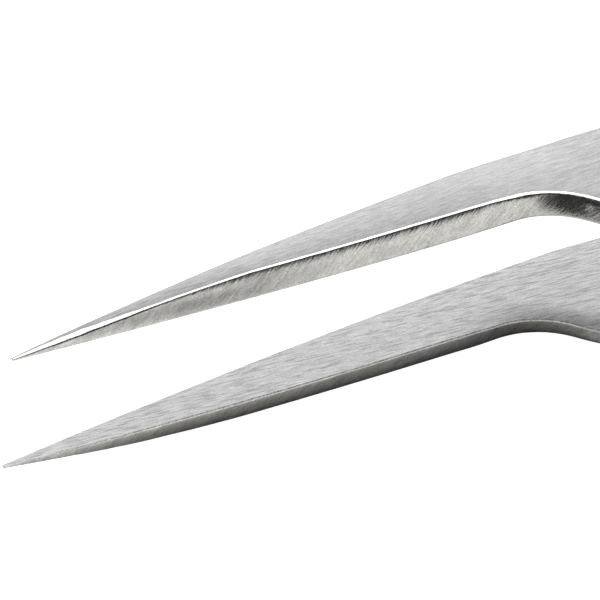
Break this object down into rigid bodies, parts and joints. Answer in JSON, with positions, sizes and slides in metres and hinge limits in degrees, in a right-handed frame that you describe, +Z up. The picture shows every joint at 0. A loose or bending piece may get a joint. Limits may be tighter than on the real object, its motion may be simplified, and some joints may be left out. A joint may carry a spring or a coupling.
{
  "type": "curved fine-point aquascaping tweezers",
  "caption": "Long curved fine-point tweezers with sprung steel arms, grooved grips, a guide pin and a riveted tail.",
  "frame": {"origin": "on the lower arm's flat outer face, on the handle's centre line, at mid-length", "axes": "+X along the handle from the points to the tail, +Z up through both arms in the squeeze direction, +Y to the bulging side; the points curve towards -Y"},
  "size_m": [0.25, 0.0244, 0.0131],
  "materials": {
    "arm_steel": "satin brushed faces with ground and polished edges",
    "spacer_steel": "fine machined",
    "rivet_steel": "ground flush",
    "pin_steel": "polished"
  },
  "bodies": {
    "tail": {"tail_spacer": "spacer_steel", "front_rivet": "rivet_steel", "rear_rivet": "rivet_steel", "upper_arm_tail": "arm_steel", "lower_arm_tail": "arm_steel", "upper_arm_spring": "arm_steel", "lower_arm_spring": "arm_steel"},
    "upper_arm": {"upper_arm_blade": "arm_steel"},
    "lower_arm": {"lower_arm_blade": "arm_steel", "guide_pin": "pin_steel"}
  },
  "joints": [
    {"name": "upper_arm_flex", "type": "hinge", "parent": "tail", "child": "upper_arm", "pos_m": [0.07, 0, 0.01057], "axis": [0, -1, 0], "range_deg": [0, 1.38], "stiffness_Nm_per_rad": 26.6, "deforming": ["upper_arm_spring"]},
    {"name": "lower_arm_flex", "type": "hinge", "parent": "tail", "child": "lower_arm", "pos_m": [0.07, 0, 0.00252], "axis": [0, 1, 0], "range_deg": [0, 1.38], "stiffness_Nm_per_rad": 26.6, "deforming": ["lower_arm_spring"]}
  ],
  "couplings": [
    {"joint": "lower_arm_flex", "follows": "upper_arm_flex", "ratio": 1}
  ]
}
